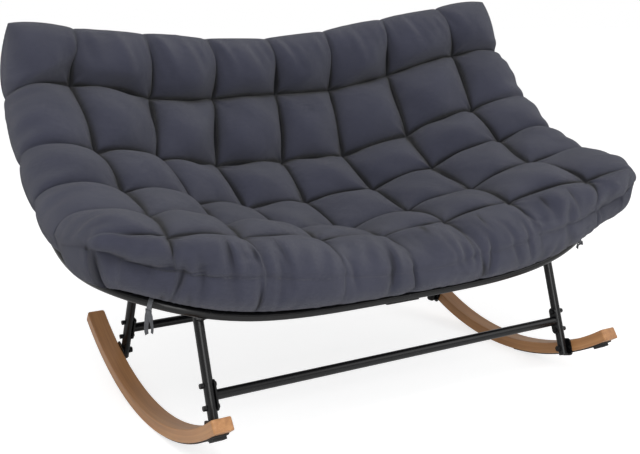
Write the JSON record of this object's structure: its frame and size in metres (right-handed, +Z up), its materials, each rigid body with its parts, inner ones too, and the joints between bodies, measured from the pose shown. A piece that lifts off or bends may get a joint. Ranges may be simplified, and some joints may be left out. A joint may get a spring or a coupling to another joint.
{
  "type": "double papasan rocking chair",
  "caption": "Wide bowl-shaped rocking seat for two: a tufted cushion in a bent tube ring on legs, joined by crossbars and bolted to bent wooden rockers.",
  "frame": {"origin": "on the floor, midway between the two lines where the rockers touch it", "axes": "+X to the right of someone facing the chair's front, +Y from the front to the back, +Z up"},
  "size_m": [1.472, 0.8895, 0.9246],
  "materials": {
    "black_steel": "satin powder coat",
    "black_fasteners": "black zinc",
    "bare_steel": "plain",
    "insert_brass": "plain",
    "black_plastic": "matt",
    "rocker_wood": "clear satin lacquer",
    "black_rubber": "matt",
    "cushion_fabric": "woven, matt",
    "tie_ribbon": "woven tape"
  },
  "bodies": {
    "root": {"centre_rib": "black_steel", "crossbar_bolts": "black_fasteners", "crossbar_cap_nuts": "black_fasteners", "cushion": "cushion_fabric", "foot_bolts": "black_fasteners", "foot_screws": "black_fasteners", "foot_washers": "black_fasteners", "front_crossbar": "black_steel", "front_left_end_plate": "black_steel", "front_left_foot_plate": "black_steel", "front_left_leg": "black_steel", "front_left_leg_plug": "black_plastic", "front_left_tie": "tie_ribbon", "front_rib_saddle": "black_steel", "front_right_end_plate": "black_steel", "front_right_foot_plate": "black_steel", "front_right_leg": "black_steel", "front_right_leg_plug": "black_plastic", "front_right_tie": "tie_ribbon", "front_rim_sleeve": "bare_steel", "left_rib": "black_steel", "left_rim_tube": "black_steel", "left_rocker": "rocker_wood", "left_rocker_stop": "black_rubber", "left_rocker_strip": "black_rubber", "rear_crossbar": "black_steel", "rear_left_end_plate": "black_steel", "rear_left_foot_plate": "black_steel", "rear_left_leg": "black_steel", "rear_left_leg_plug": "black_plastic", "rear_rib_saddle": "black_steel", "rear_right_end_plate": "black_steel", "rear_right_foot_plate": "black_steel", "rear_right_leg": "black_steel", "rear_right_leg_plug": "black_plastic", "rear_rim_sleeve": "bare_steel", "right_rib": "black_steel", "right_rim_tube": "black_steel", "right_rocker": "rocker_wood", "right_rocker_stop": "black_rubber", "right_rocker_strip": "black_rubber", "rocker_inserts": "insert_brass", "saddle_screws": "black_fasteners", "top_left_tie": "tie_ribbon", "top_right_tie": "tie_ribbon"}
  },
  "joints": []
}
